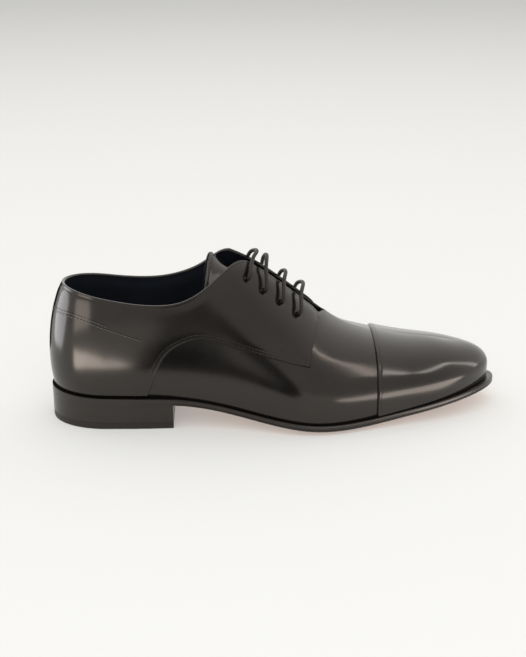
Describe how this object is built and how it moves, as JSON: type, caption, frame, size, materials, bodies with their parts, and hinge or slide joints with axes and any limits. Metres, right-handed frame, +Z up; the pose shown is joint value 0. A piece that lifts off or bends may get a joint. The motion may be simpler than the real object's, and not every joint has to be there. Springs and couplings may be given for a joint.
{
  "type": "dress shoe",
  "caption": "Black leather cap-toe derby dress shoe for a right foot, with low stacked heel, thin leather sole, hollow upper, tongue and thin round lace.",
  "frame": {"origin": "on the floor under the middle of the shoe's box", "axes": "+X to the toe, +Y to the medial side, +Z up"},
  "size_m": [0.3056, 0.0984, 0.113],
  "materials": {
    "upper_leather": "smooth polished black calf",
    "sole_leather": "tan leather underneath, black polished edge",
    "heel_leather": "black polished stacked leather",
    "heel_rubber": "matte black rubber",
    "lining": "dark smooth lining leather",
    "lace_cord": "waxed black cord"
  },
  "bodies": {
    "root": {"heel_top_piece": "heel_rubber", "heel_stack": "heel_leather", "outsole": "sole_leather", "insole": "lining", "upper": "upper_leather", "toe_cap": "upper_leather", "quarter_lateral": "upper_leather", "quarter_medial": "upper_leather", "tongue": "upper_leather", "lace": "lace_cord"}
  },
  "joints": []
}
